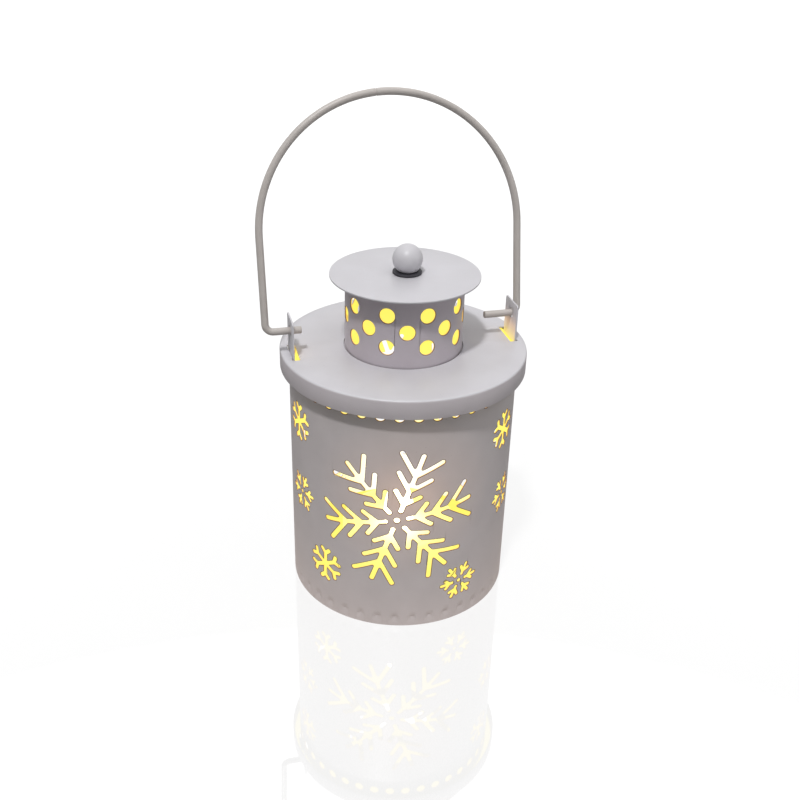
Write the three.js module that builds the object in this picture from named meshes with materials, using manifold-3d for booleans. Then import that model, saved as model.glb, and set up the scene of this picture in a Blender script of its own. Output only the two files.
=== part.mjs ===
// LED lantern: a painted tin lantern with snowflake cut-outs, a lift-off lid with a chimney,
// a wire bail and a battery tea light inside.
// Millimetres, +Z up. X runs along the bail's pivots, and the origin is the middle of the base.
import * as THREE from 'three';
import { mergeVertices } from 'three/addons/utils/BufferGeometryUtils.js';
import Module from 'manifold-3d';

const wasm = await Module();
wasm.setup();

// Sheet metal and fits
const tin = 0.5;
const gap = 0.3;
const through = 2;

// Points nearer than this to the straight line between their neighbours are dropped
const smallest = 0.01;

// Body shell
const bodyRadius = 35;
const bodyHeight = 80.4;
const shellTurn = -15.9;
const seamWidth = 6;
const seamPlace = -97;
const seamStep = 0.35;

// Vent holes under the lid, and crimp dents above the bottom edge
const ventCount = 40;
const ventDiameter = 3.1;
const ventBelowTop = 5.7;
const dentCount = 40;
const dentWidth = 2.6;
const dentTop = 4.2;
const dentDrop = 3.2;
const dentDepth = 0.3;

// Large snowflake: six arms, each a stem with three pairs of branches
const flakeTurn = 11.5;
const flakeArm = {
  start: 3.5,
  end: 23.15,
  roots: [5.9, 10.9, 16.1],
  branches: [5.35, 7.1, 8.95],
  stroke: 1.5,
  web: 1.2,
  capSteps: 2,
};
const flakeDot = 1.9;

// Small joined snowflake: six forked arms that meet in the middle
const starTurn = 28;
const starArm = {
  start: 0,
  end: null,
  roots: [4],
  branches: [2],
  stroke: 1.4,
  web: 0,
  capSteps: 1,
};

// Small parted snowflake: a dot and six loose arms with three points
const sprigTurn = 5.5;
const sprigArm = {
  start: 2.35,
  end: 6.15,
  roots: [3.35],
  branches: [2.05],
  stroke: 1.1,
  web: 0,
  capSteps: 1,
};
const sprigDot = 1.3;

// The branches' angle from their stem, in degrees
const branchAngle = 45;

// Where the snowflakes stand: degrees round the wall from the front one, and height
const largeFlakes = [[0, 39.9], [180, 44.4]];
const stars = [
  [-60.5, 62.5], [62.6, 61.5], [-39.3, 17.3], [93, 20], [119.5, 62.5], [-117.4, 61.5], [134, 17.3],
];
const sprigs = [
  [-58.5, 38.2], [67.2, 37.3], [34.2, 14], [121.5, 38.2], [-112.8, 37.3], [-134, 14],
];

// Base plate
const baseFlange = 6;
const baseCorner = 1;
const ringHeight = 1.2;
const ringWidth = 1.6;

// Lid: its rim hangs clear of the wall by its play
const lidPlay = 2.2;
const lidRim = 5.95;
const lidEdge = 0.6;

// Collar, hat and knob
const collarRadius = 17.9;
const collarHeight = 22.3;
const collarFlange = 3;
const dotColumns = 9;
const dotPitch = 38.5;
const dotTurn = -101.6;
const dotRows = [6.3, 11.3, 16.2];
const dotDiameter = 4.6;
const hatRadius = 22.5;
const hatLip = 1.2;
const knobRadius = 4.5;
const knobFlat = 3.6;
const washerRadius = 4.4;
const washerHeight = 0.8;
const screwRadius = 1.5;
const screwReach = 5.6;
const screwHead = 3;
const screwHeadHeight = 1.8;
const screwHeadEdge = 0.8;
const screwTip = 0.5;
const screwSlotWidth = 0.8;
const screwSlotDepth = 0.7;

// Ears and bail: the ears stand a little inside the wall's outer face, and the bail has side play
const earInset = 0.5;
const earLength = 10;
const earRise = 11.2;
const earCorner = 1;
const earFoot = 1;
const earFootLength = 6;
const slotReach = 1.8;
const pivotRise = 7.2;
const wireRadius = 1.1;
const wireClearance = 0.4;
const bailPlay = 2.9;
const bailLeg = 27.7;
const bailBend = 2.4;
const bailStub = 10.6;
const bailLean = THREE.MathUtils.degToRad(12);

// Tea light housing
const teaRadius = 18.75;
const teaHeight = 16.5;
const teaPlay = 0.6;
const teaWall = 1;
const teaFloor = 1.5;
const cupFoot = 0.4;
const cupRoll = 0.7;
const wellHeight = 5.6;
const wellWall = 0.8;

// Dished top and flame
const rimDrop = 0.8;
const dishDepth = 2.2;
const dishRim = 1.5;
const dishSlope = 2;
const dishFoot = 2.5;
const flameRadius = 5;
const flameRise = 19.5;
const flameNeck = 3.9;
const flameNeckHeight = 0.6;
const flameWall = 0.7;
const flameFoot = 1;

// Coin cell, its cover and its contacts
const cellRadius = 10;
const cellHeight = 3.2;
const cellStep = 1.2;
const cellStepHeight = 0.4;
const cellEdge = 0.3;
const coverRadius = 10.4;
const coverRim = 1;
const coverRimHeight = 1.1;
const lugReach = 1;
const lugAngle = 24;
const lugPlay = 6;
const coverTravel = 30;
const coinSlotLength = 12;
const coinSlotWidth = 1.6;
const coinSlotDepth = 0.7;
const stripWidth = 3;
const stripThickness = 0.4;
const stripReach = 1.5;
const stripRise = 1;
const springStart = 6;
const springBend = 3;
const springFoot = 0.5;
const springEnd = 2;

// Circuit board, LED and resistor
const boardRadius = 8;
const boardHeight = 1;
const boardRise = 9;
const ledRadius = 2.5;
const ledHeight = 5.4;
const ledFlange = 0.4;
const ledFlangeHeight = 1;
const ledSeat = 0.6;
const legPitch = 2.54;
const legWidth = 0.5;
const legHoleRadius = 0.7;
const resistorPlace = 6.6;
const resistorRadius = 0.8;
const resistorLength = 2.4;
const leadWidth = 0.4;
const leadSpan = 5.6;
const leadSeat = 0.2;

// Switch
const switchPlace = 14.1;
const switchTravel = 2.5;
const slideWidth = 2.4;
const slideHeight = 1;
const knobWidth = 1.8;
const knobLength = 2.4;

// Heights and places that follow from the sizes above
const lidUnder = bodyHeight + tin;
const lidTop = lidUnder + tin;
const lidRadius = bodyRadius + tin + lidPlay;
const hatTop = lidTop + collarHeight + tin;
const pivotHeight = lidTop + pivotRise;
const earPlace = bodyRadius - earInset;
const bailHalf = earPlace + tin / 2 + gap + wireRadius + bailPlay;
const cellLow = teaFloor + coverRimHeight;

// Facets round each round piece
const wallSides = 40;
const lidSides = 40;
const collarSides = 36;
const smallSides = 28;
const tinySides = 12;
const wireSides = 6;

// Finishes
const paint = { color: 0xc8c1c2, roughness: 0.42, metalness: 0.1 };
const steel = { color: 0x9c9c98, roughness: 0.35, metalness: 0.9 };
const darkRubber = { color: 0x17171c, roughness: 0.7, metalness: 0 };
const ivory = { color: 0xf2e6c4, roughness: 0.5, metalness: 0 };
const glowing = { color: 0xffd27a, roughness: 0.3, metalness: 0, emissive: 0xffb43c };
const boardGreen = { color: 0x2f6b3c, roughness: 0.5, metalness: 0 };
const whitePlastic = { color: 0xe9e7e0, roughness: 0.45, metalness: 0 };

// Turns a closed three.js geometry into a solid
function solid(geometry) {
  const bare = geometry.index ? geometry.toNonIndexed() : geometry.clone();
  bare.deleteAttribute('normal');
  bare.deleteAttribute('uv');
  const merged = mergeVertices(bare, 1e-4);
  const mesh = new wasm.Mesh({
    numProp: 3,
    vertProperties: new Float32Array(merged.attributes.position.array),
    triVerts: new Uint32Array(merged.index.array),
  });
  return new wasm.Manifold(mesh);
}

// Turns a solid back into a geometry
function skin(body) {
  const mesh = body.getMesh();
  const geometry = new THREE.BufferGeometry();
  geometry.setAttribute('position', new THREE.BufferAttribute(mesh.vertProperties, 3));
  geometry.setIndex(new THREE.BufferAttribute(mesh.triVerts, 1));
  geometry.computeVertexNormals();
  return geometry;
}

function join(solids) {
  return solids.reduce((whole, next) => whole.add(next)).asOriginal().simplify(smallest);
}

function cut(body, tools) {
  return tools.reduce((whole, tool) => whole.subtract(tool), body).asOriginal().simplify(smallest);
}

// Revolves a closed outline of [radius, height] points, listed anticlockwise, about Z
function revolve(outline, sides) {
  const points = [...outline, outline[0]].map(([r, z]) => new THREE.Vector2(r, z));
  return solid(new THREE.LatheGeometry(points, sides).rotateX(Math.PI / 2));
}

function ring(inner, outer, low, high, sides) {
  return revolve([[inner, low], [outer, low], [outer, high], [inner, high]], sides);
}

function disc(radius, low, high, sides) {
  const geometry = new THREE.CylinderGeometry(radius, radius, high - low, sides);
  return solid(geometry.rotateX(Math.PI / 2).translate(0, 0, (low + high) / 2));
}

function box(low, high) {
  const size = high.map((value, i) => value - low[i]);
  const middle = high.map((value, i) => (value + low[i]) / 2);
  return solid(new THREE.BoxGeometry(...size).translate(...middle));
}

// A point on a circle, from its radius and its angle in degrees
function polar(radius, degrees) {
  const angle = THREE.MathUtils.degToRad(degrees);
  return new THREE.Vector2(radius * Math.cos(angle), radius * Math.sin(angle));
}

// Points of a quarter-round corner, from one angle to another in degrees
function corner(centre, radius, from, to, steps) {
  const points = [];
  for (let i = 0; i <= steps; i += 1) {
    const point = polar(radius, from + ((to - from) * i) / steps);
    points.push([centre[0] + point.x, centre[1] + point.y]);
  }
  return points;
}

// Patterns are drawn flat, with x round the wall, y up it and z out of it, and are then bent round it

function flatPlate(shape, curveSegments) {
  const depth = 2 * through + tin;
  const options = { depth, bevelEnabled: false, curveSegments };
  return solid(new THREE.ExtrudeGeometry(shape, options).translate(0, 0, -through - tin));
}

function dot(diameter, steps) {
  const shape = new THREE.Shape();
  shape.absarc(0, 0, diameter / 2, 0, 2 * Math.PI, false);
  return flatPlate(shape, steps);
}

// One side of an arm that lies along x: where each branch leaves the stem, and its round tip.
// A web fills the narrow notch between the branch and the stem beyond it.
function branchOutline(root, length, half, side, web, capSteps) {
  const angle = THREE.MathUtils.degToRad(branchAngle);
  const along = polar(1, branchAngle);
  const foot = (offset) => {
    const run = (half * (1 + offset * Math.cos(angle))) / Math.sin(angle);
    return [root + run * along.x + offset * half * along.y, side * half];
  };
  const tip = [root + length * along.x, length * along.y];
  const cap = corner(tip, half, branchAngle + 90, branchAngle - 90, capSteps);
  const notch = foot(1);
  const onBranch = [notch[0] + web * along.x, notch[1] + side * web * along.y];
  const filled = [onBranch, [notch[0] + web, notch[1]]];
  return [foot(-1), ...cap.map(([x, y]) => [x, side * y]), ...(web > 0 ? filled : [notch])];
}

// The closed outline of one arm. An arm without an end forks at its last pair of branches.
function armOutline({ start, end, roots, branches, stroke, web, capSteps }) {
  const half = stroke / 2;
  const forked = end === null;
  const side = (sign) => {
    const points = roots.flatMap((root, i) => branchOutline(root, branches[i], half, sign, web, capSteps));
    return forked ? points.slice(0, -1) : points;
  };
  const notch = [roots[roots.length - 1] + half / Math.sin(THREE.MathUtils.degToRad(branchAngle)), 0];
  const tip = forked ? [notch] : corner([end, 0], half, 90, -90, capSteps);
  const foot = start > 0 ? corner([start, 0], half, -90, -270, capSteps) : [[0, -half], [0, half]];
  return [...side(1), ...tip, ...side(-1).reverse(), ...foot];
}

function sixArms(arm, turn) {
  const shape = new THREE.Shape(armOutline(arm).map(([x, y]) => new THREE.Vector2(x, y)));
  const plate = flatPlate(shape, 1);
  return [0, 60, 120, 180, 240, 300].map((degrees) => plate.rotate([0, 0, turn + degrees]));
}

// The large one's arms stay apart, so that each is bent and goes through at its own middle
function largeFlake() {
  return [dot(flakeDot, 4), ...sixArms(flakeArm, flakeTurn)];
}

function star() {
  return join(sixArms(starArm, starTurn));
}

function sprig() {
  return join([dot(sprigDot, 3), ...sixArms(sprigArm, sprigTurn)]);
}

// Bends a flat piece round the wall, at the given degrees and height. The piece goes straight
// through the sheet in the direction that the wall faces at the piece's own middle.
function bend(flat, degrees, height) {
  const mesh = flat.getMesh();
  const vertices = new Float32Array(mesh.vertProperties);
  const { min, max } = flat.boundingBox();
  const start = THREE.MathUtils.degToRad(degrees + shellTurn - 90);
  const facing = start + (min[0] + max[0]) / 2 / bodyRadius;
  for (let i = 0; i < vertices.length; i += 3) {
    const [along, up, out] = vertices.slice(i, i + 3);
    const angle = start + along / bodyRadius;
    const x = bodyRadius * Math.cos(angle) + out * Math.cos(facing);
    const y = bodyRadius * Math.sin(angle) + out * Math.sin(facing);
    vertices.set([x, y, height + up], i);
  }
  return new wasm.Manifold(new wasm.Mesh({ numProp: 3, vertProperties: vertices, triVerts: mesh.triVerts }));
}

// The same flat piece at equal steps round the wall
function repeatRound(flat, count, height) {
  const copies = [];
  for (let k = 0; k < count; k += 1) {
    copies.push(bend(flat, (360 * k) / count, height));
  }
  return copies;
}

// A dent with a sharp upper edge that runs out towards the bottom edge
function dentTool() {
  const side = new THREE.Shape();
  side.moveTo(-dentDepth, 0);
  side.lineTo(through, 0);
  side.lineTo(through, -dentDrop);
  side.lineTo(0, -dentDrop);
  side.closePath();
  const options = { depth: dentWidth, bevelEnabled: false };
  const geometry = new THREE.ExtrudeGeometry(side, options).translate(0, 0, -dentWidth / 2);
  return solid(geometry.rotateY(-Math.PI / 2));
}

// The wall's lap seam: the outer layer of the overlapping sheet, from the base to the lid
function lapSeam() {
  const half = seamWidth / 2;
  const top = bodyHeight - lidRim - through;
  return bend(box([-half, 0, -tin / 2], [half, top, seamStep]), seamPlace, 0);
}

function bodyShell() {
  const inner = bodyRadius - tin;
  const halfFacet = 180 / wallSides;
  const tube = ring(inner, bodyRadius, 0, bodyHeight, wallSides).rotate([0, 0, shellTurn + halfFacet]);
  const wall = tube.add(lapSeam());
  const tools = [
    ...largeFlakes.flatMap(([degrees, height]) => largeFlake().map((flat) => bend(flat, degrees, height))),
    ...stars.map(([degrees, height]) => bend(star(), degrees, height)),
    ...sprigs.map(([degrees, height]) => bend(sprig(), degrees, height)),
    ...repeatRound(dot(ventDiameter, 3), ventCount, bodyHeight - ventBelowTop),
    ...repeatRound(dentTool(), dentCount, dentTop),
  ];
  return cut(wall, tools);
}

// A pressed pan inside the foot of the wall, with a raised ring that centres the tea light
function basePlate() {
  const outer = bodyRadius - tin - gap;
  const inner = outer - tin;
  const ringInner = teaRadius + teaPlay;
  const ringOuter = ringInner + ringWidth;
  return revolve([
    [0, 0],
    [ringInner + tin, 0],
    [ringInner + tin, ringHeight - tin],
    [ringOuter - tin, ringHeight - tin],
    [ringOuter - tin, 0],
    ...corner([outer - baseCorner, baseCorner], baseCorner, -90, 0, 2),
    [outer, baseFlange],
    [inner, baseFlange],
    ...corner([outer - baseCorner, baseCorner], baseCorner - tin, 0, -90, 1),
    [ringOuter, tin],
    [ringOuter, ringHeight],
    [ringInner, ringHeight],
    [ringInner, tin],
    [0, tin],
  ], smallSides);
}

function lid() {
  const hole = collarRadius + gap;
  const low = lidTop - lidRim;
  const cap = revolve([
    [hole, lidUnder],
    [lidRadius - tin, lidUnder],
    [lidRadius - tin, low],
    [lidRadius, low],
    ...corner([lidRadius - lidEdge, lidTop - lidEdge], lidEdge, 0, 90, 2),
    [hole, lidTop],
  ], lidSides);
  const reach = earLength / 2 + 2 * gap;
  const outer = earPlace + tin / 2 + gap;
  const slot = box([earPlace - slotReach, -reach, lidUnder - 1], [outer, reach, lidTop + 1]);
  return cut(cap, [slot, slot.rotate([0, 0, 180])]);
}

// The perforated chimney ring: a flange under the lid, a wall and a flange under the hat
function collar() {
  const foot = lidUnder - tin;
  const top = hatTop - tin;
  const inner = collarRadius - tin;
  const wall = revolve([
    [inner, foot],
    [collarRadius + collarFlange, foot],
    [collarRadius + collarFlange, lidUnder],
    [collarRadius, lidUnder],
    [collarRadius, top],
    [inner - collarFlange, top],
    [inner - collarFlange, top - tin],
    [inner, top - tin],
  ], collarSides);
  const tools = [];
  dotRows.forEach((rise, row) => {
    for (let k = 0; k < dotColumns; k += 1) {
      const angle = dotTurn + (k - (row % 2 ? 4 : 4.5)) * dotPitch;
      tools.push(dotTool(THREE.MathUtils.degToRad(angle), lidTop + rise));
    }
  });
  return cut(wall, tools);
}

// A short round cutter through the collar's wall
function dotTool(angle, height) {
  const length = 2 * through + tin;
  const geometry = new THREE.CylinderGeometry(dotDiameter / 2, dotDiameter / 2, length, 8);
  geometry.translate(0, collarRadius, 0).rotateZ(angle - Math.PI / 2).translate(0, 0, height);
  return solid(geometry);
}

function hat() {
  const low = hatTop - hatLip;
  const hole = screwRadius + gap;
  return revolve([
    [hole, hatTop - tin],
    [hatRadius - tin, hatTop - tin],
    [hatRadius - tin, low],
    [hatRadius, low],
    [hatRadius, hatTop],
    [hole, hatTop],
  ], collarSides);
}

function knobWasher() {
  return ring(screwRadius + gap, washerRadius, hatTop, hatTop + washerHeight, 20);
}

// A ball with a flat under it and a blind hole for the screw
function knob() {
  const flat = hatTop + washerHeight;
  const centre = flat + knobFlat;
  const sphere = new THREE.SphereGeometry(knobRadius, 16, 10).rotateX(Math.PI / 2);
  const ball = solid(sphere.translate(0, 0, centre));
  const below = disc(2 * knobRadius, flat - 2 * knobRadius, flat, 12);
  const hole = disc(screwRadius + gap, flat - 1, flat + screwReach + gap, tinySides);
  return cut(ball, [below, hole]);
}

function knobScrew() {
  const headTop = hatTop - tin;
  const tip = hatTop + washerHeight + screwReach;
  const screw = revolve([
    [0, headTop - screwHeadHeight],
    [screwHead - screwHeadEdge, headTop - screwHeadHeight],
    [screwHead, headTop - screwHeadEdge],
    [screwHead, headTop],
    [screwRadius, headTop],
    [screwRadius, tip - screwTip],
    [screwRadius - screwTip, tip],
    [0, tip],
  ], tinySides);
  const low = headTop - screwHeadHeight;
  const slotHalf = screwSlotWidth / 2;
  return cut(screw, [box([-screwHead, -slotHalf, low - 1], [screwHead, slotHalf, low + screwSlotDepth])]);
}

// An ear: an upright plate with the bail's hole, on a short foot turned out under the lid
function ear() {
  const half = earLength / 2;
  const top = lidTop + earRise;
  const inner = earPlace - tin / 2;
  const outer = earPlace + tin / 2;
  const profile = new THREE.Shape();
  profile.moveTo(-half, bodyHeight);
  profile.lineTo(half, bodyHeight);
  profile.lineTo(half, top - earCorner);
  profile.quadraticCurveTo(half, top, half - earCorner, top);
  profile.lineTo(earCorner - half, top);
  profile.quadraticCurveTo(-half, top, -half, top - earCorner);
  profile.closePath();
  const hole = new THREE.Path();
  hole.absarc(0, pivotHeight, wireRadius + wireClearance, 0, 2 * Math.PI, true);
  profile.holes.push(hole);
  const options = { depth: tin, bevelEnabled: false, curveSegments: 4 };
  const upright = new THREE.Matrix4().makeBasis(
    new THREE.Vector3(0, 1, 0), new THREE.Vector3(0, 0, 1), new THREE.Vector3(1, 0, 0));
  const plate = new THREE.ExtrudeGeometry(profile, options).applyMatrix4(upright).translate(inner, 0, 0);
  const footHalf = earFootLength / 2;
  const foot = box([outer - tin / 2, -footHalf, bodyHeight], [outer + earFoot, footHalf, lidUnder]);
  return solid(plate).add(foot);
}

// The bail's centre line in its own plane: stub, bend, leg, arch, leg, bend, stub.
// Each stretch takes its own number of steps, so that the tight bends stay round.
class BailPath extends THREE.Curve {
  constructor() {
    super();
    const half = bailHalf;
    const bendX = half - bailBend;
    const line = (a, b) => new THREE.LineCurve(new THREE.Vector2(...a), new THREE.Vector2(...b));
    const arc = (x, y, r, from, to) => new THREE.EllipseCurve(x, y, r, r, from, to, to < from);
    const turn = Math.PI / 2;
    this.stretches = [
      [line([bailStub - half, 0], [-bendX, 0]), 1],
      [arc(-bendX, bailBend, bailBend, -turn, -2 * turn), 4],
      [line([-half, bailBend], [-half, bailLeg]), 1],
      [arc(0, bailLeg, half, 2 * turn, 0), 26],
      [line([half, bailLeg], [half, bailBend]), 1],
      [arc(bendX, bailBend, bailBend, 0, -turn), 4],
      [line([bendX, 0], [half - bailStub, 0]), 1],
    ];
    this.steps = this.stretches.reduce((sum, [, steps]) => sum + steps, 0);
  }

  getPointAt(u) {
    let left = u * this.steps;
    for (const [curve, steps] of this.stretches) {
      if (left <= steps) {
        const point = curve.getPoint(left / steps);
        return new THREE.Vector3(point.x, 0, point.y);
      }
      left -= steps;
    }
    return new THREE.Vector3(bailHalf - bailStub, 0, 0);
  }

  getPoint(u) {
    return this.getPointAt(u);
  }

  getTangentAt(u) {
    const step = 0.5 / this.steps;
    const before = this.getPointAt(Math.max(0, u - step));
    const after = this.getPointAt(Math.min(1, u + step));
    return after.sub(before).normalize();
  }

  getSpacedPoints(count) {
    const points = [];
    for (let i = 0; i <= count; i += 1) {
      points.push(this.getPointAt(i / count));
    }
    return points;
  }
}

function bail() {
  const path = new BailPath();
  const section = new THREE.Shape();
  for (let i = 0; i < wireSides; i += 1) {
    const point = polar(wireRadius, (360 * i) / wireSides);
    if (i === 0) {
      section.moveTo(point.x, point.y);
    } else {
      section.lineTo(point.x, point.y);
    }
  }
  section.closePath();
  const options = { extrudePath: path, steps: path.steps, bevelEnabled: false };
  return solid(new THREE.ExtrudeGeometry(section, options));
}

// Tea light, from its own underside up

function teaLightCup() {
  const outer = teaRadius;
  const inner = outer - teaWall;
  return revolve([
    [inner, gap],
    [outer - cupFoot, gap],
    [outer, gap + cupFoot],
    ...corner([outer - cupRoll, teaHeight - cupRoll], cupRoll, 0, 90, 2),
    [inner, teaHeight],
  ], smallSides);
}

// The underside: a floor disc with a battery well, a bayonet opening and a slot for the switch
function teaLightBase() {
  const outer = teaRadius - teaWall - gap;
  const opening = coverRadius + gap;
  const wellInner = coverRadius + lugReach + gap;
  const wellTop = teaFloor + wellHeight;
  const floor = revolve([
    [opening, 0],
    [outer, 0],
    [outer, teaFloor],
    [wellInner + wellWall, teaFloor],
    [wellInner + wellWall, wellTop],
    [wellInner, wellTop],
    [wellInner, teaFloor],
    [opening, teaFloor],
  ], smallSides);
  const notch = lugPair(opening - 1, wellInner, -1, teaFloor, lugAngle + lugPlay);
  const half = knobWidth / 2 + gap;
  const travel = knobLength / 2 + switchTravel / 2 + gap;
  const slot = box([switchPlace - half, -travel, -1], [switchPlace + half, travel, teaFloor + 1]);
  return cut(floor, [notch.rotate([0, 0, -coverTravel]), slot]);
}

// Two opposite arc lugs of a ring
function lugPair(inner, outer, low, high, degrees) {
  const wedge = new THREE.Shape();
  const half = THREE.MathUtils.degToRad(degrees / 2);
  wedge.absarc(0, 0, outer, -half, half, false);
  wedge.absarc(0, 0, inner, half, -half, true);
  wedge.closePath();
  const options = { depth: high - low, bevelEnabled: false, curveSegments: 4 };
  const lug = solid(new THREE.ExtrudeGeometry(wedge, options).translate(0, 0, low));
  return lug.add(lug.rotate([0, 0, 180]));
}

// Turns in the base's opening, and its lugs lock over the floor
function batteryCover() {
  const rimTop = cellLow;
  const plate = revolve([
    [0, gap],
    [coverRadius, gap],
    [coverRadius, rimTop],
    [coverRadius - coverRim, rimTop],
    [coverRadius - coverRim, teaFloor],
    [0, teaFloor],
  ], smallSides);
  const lugInner = coverRadius - coverRim / 2;
  const lugs = lugPair(lugInner, coverRadius + lugReach, teaFloor + gap, rimTop, lugAngle);
  const slotX = coinSlotLength / 2;
  const slotY = coinSlotWidth / 2;
  const coinSlot = box([-slotX, -slotY, -1], [slotX, slotY, coinSlotDepth]);
  return plate.add(lugs).subtract(coinSlot);
}

// A coin cell with the step between its cap and its can
function coinCell() {
  return revolve([
    [0, cellLow],
    [cellRadius - cellStep, cellLow],
    [cellRadius - cellStep, cellLow + cellStepHeight],
    [cellRadius - cellEdge, cellLow + cellStepHeight],
    [cellRadius, cellLow + cellStepHeight + cellEdge],
    [cellRadius, cellLow + cellHeight],
    [0, cellLow + cellHeight],
  ], smallSides);
}

// A strip that presses on the cell's rim and climbs to the board
function positiveContact() {
  const inner = cellRadius + gap;
  const outer = inner + stripThickness;
  const half = stripWidth / 2;
  const high = boardRise - gap;
  const upright = box([inner, -half, cellLow + stripRise], [outer, half, high]);
  const arm = box([boardRadius - stripReach, -half, high - stripThickness], [outer, half, high]);
  return upright.add(arm);
}

// A leaf spring from the board down to the middle of the cell
function negativeContact() {
  const low = cellLow + cellHeight + gap;
  const high = boardRise - gap;
  const leaf = new THREE.Shape();
  leaf.moveTo(-springBend, high);
  leaf.lineTo(-springStart, high);
  leaf.lineTo(-springStart, high - stripThickness);
  leaf.lineTo(-springBend - leadSeat, high - stripThickness);
  leaf.lineTo(springFoot, low);
  leaf.lineTo(springEnd, low);
  leaf.lineTo(springEnd, low + stripThickness);
  leaf.lineTo(springFoot + leadSeat, low + stripThickness);
  leaf.closePath();
  const geometry = new THREE.ExtrudeGeometry(leaf, { depth: stripWidth, bevelEnabled: false });
  return solid(geometry.rotateX(Math.PI / 2).translate(0, stripWidth / 2, 0));
}

function circuitBoard() {
  const plate = disc(boardRadius, boardRise, boardRise + boardHeight, smallSides);
  const hole = disc(legHoleRadius, boardRise - 1, boardRise + boardHeight + 1, 8);
  return cut(plate, [-legPitch / 2, legPitch / 2].map((y) => hole.translate([0, y, 0])));
}

// A domed LED with its flange and two legs
function led() {
  const seat = boardRise + boardHeight + ledSeat;
  const dome = corner([0, seat + ledHeight - ledRadius], ledRadius, 0, 90, 3);
  const bulb = revolve([
    [0, seat],
    [ledRadius + ledFlange, seat],
    [ledRadius + ledFlange, seat + ledFlangeHeight],
    [ledRadius, seat + ledFlangeHeight],
    ...dome,
  ], tinySides);
  const half = legWidth / 2;
  const leg = (y) => box([-half, y - half, boardRise - gap], [half, y + half, seat + legWidth]);
  return join([bulb, leg(-legPitch / 2), leg(legPitch / 2)]);
}

function resistor() {
  const low = boardRise + boardHeight + leadSeat;
  const middle = low + resistorRadius;
  const half = leadWidth / 2;
  const reach = leadSpan / 2;
  const bead = solid(new THREE.CapsuleGeometry(resistorRadius, resistorLength, 2, 8));
  const lead = (y) => box([-half, y - half, low - leadSeat], [half, y + half, middle + half]);
  const axis = box([-half, -reach - half, middle - half], [half, reach + half, middle + half]);
  const whole = join([bead.translate([0, 0, middle]), axis, lead(-reach), lead(reach)]);
  return whole.translate([resistorPlace, 0, 0]);
}

// The dished wax-look cover over the works, with a neck for the flame
function waxTop() {
  const outer = teaRadius - teaWall - gap;
  const rimTop = teaHeight - rimDrop;
  const dish = rimTop - dishDepth;
  const neck = flameNeck + gap;
  const slopeTop = outer - dishRim;
  const slopeFoot = slopeTop - dishSlope;
  return revolve([
    [neck, dish - teaWall],
    [slopeFoot, dish - teaWall],
    [outer - teaWall, rimTop - teaWall],
    [outer - teaWall, teaFloor + gap],
    [outer, teaFloor + gap],
    [outer, rimTop],
    [slopeTop, rimTop],
    [slopeFoot, dish + teaWall / 2],
    [slopeFoot - dishFoot, dish],
    [neck, dish],
  ], smallSides);
}

// A hollow flame that stands in the cover's neck on a flange, open below for the LED
function flameLens() {
  const dish = teaHeight - rimDrop - dishDepth;
  const flangeTop = dish - teaWall - gap;
  const outline = (wall) => (t) => {
    const swell = Math.sin(Math.PI * Math.min(1, 0.36 + 0.64 * t) ** 1.15) ** 0.8;
    return [Math.max(0, flameRadius * swell - wall), dish + t * (flameRise - wall)];
  };
  const outer = [];
  const inner = [];
  const steps = 7;
  for (let i = 1; i < steps; i += 1) {
    outer.push(outline(0)(i / steps));
    inner.push(outline(flameWall)(i / steps));
  }
  const tip = [0, dish + flameRise];
  const innerTip = [0, dish + flameRise - 2 * flameWall];
  const hollow = inner.filter(([radius, height]) => radius > flameWall && height < innerTip[1] - 1);
  return revolve([
    [flameNeck - flameWall, flangeTop - flameFoot],
    [flameNeck + flameFoot, flangeTop - flameFoot],
    [flameNeck + flameFoot, flangeTop],
    [flameNeck, flangeTop],
    [flameNeck, dish + flameNeckHeight],
    ...outer,
    tip,
    innerTip,
    ...hollow.reverse(),
    [flameNeck - flameWall, dish + flameNeckHeight],
  ], 16);
}

// The switch: a finger knob in the base's slot, with a wider slide above the floor
function switchSlider() {
  const half = knobWidth / 2;
  const long = knobLength / 2;
  const slideHalf = long + switchTravel / 2 + slideHeight;
  const knobPart = box([switchPlace - half, -long, gap], [switchPlace + half, long, teaFloor + 2 * gap]);
  const slideLow = teaFloor + gap;
  const inner = switchPlace - slideWidth / 2;
  const slide = box([inner, -slideHalf, slideLow], [inner + slideWidth, slideHalf, slideLow + slideHeight]);
  return knobPart.add(slide);
}

// Assembly

function piece(name, body, finish) {
  const mesh = new THREE.Mesh(skin(body), new THREE.MeshStandardMaterial(finish));
  mesh.name = name;
  return mesh;
}

function bodyGroup() {
  const group = new THREE.Group();
  group.add(piece('body_shell', bodyShell(), paint));
  group.add(piece('base_plate', basePlate(), paint));
  return group;
}

function lidGroup() {
  const group = new THREE.Group();
  group.add(piece('lid', lid(), paint));
  group.add(piece('collar', collar(), paint));
  group.add(piece('hat', hat(), paint));
  group.add(piece('knob_washer', knobWasher(), darkRubber));
  group.add(piece('knob', knob(), paint));
  group.add(piece('knob_screw', knobScrew(), steel));
  group.add(piece('ear_right', ear(), paint));
  group.add(piece('ear_left', ear().rotate([0, 0, 180]), paint));
  return group;
}

function bailMesh() {
  const mesh = piece('bail', bail(), paint);
  mesh.position.set(-bailPlay, 0, pivotHeight);
  mesh.rotation.x = -bailLean;
  return mesh;
}

// The switch stands at the end of its travel where the light is on
function switchMesh() {
  const mesh = piece('switch_slider', switchSlider(), darkRubber);
  mesh.position.y = switchTravel / 2;
  return mesh;
}

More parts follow.
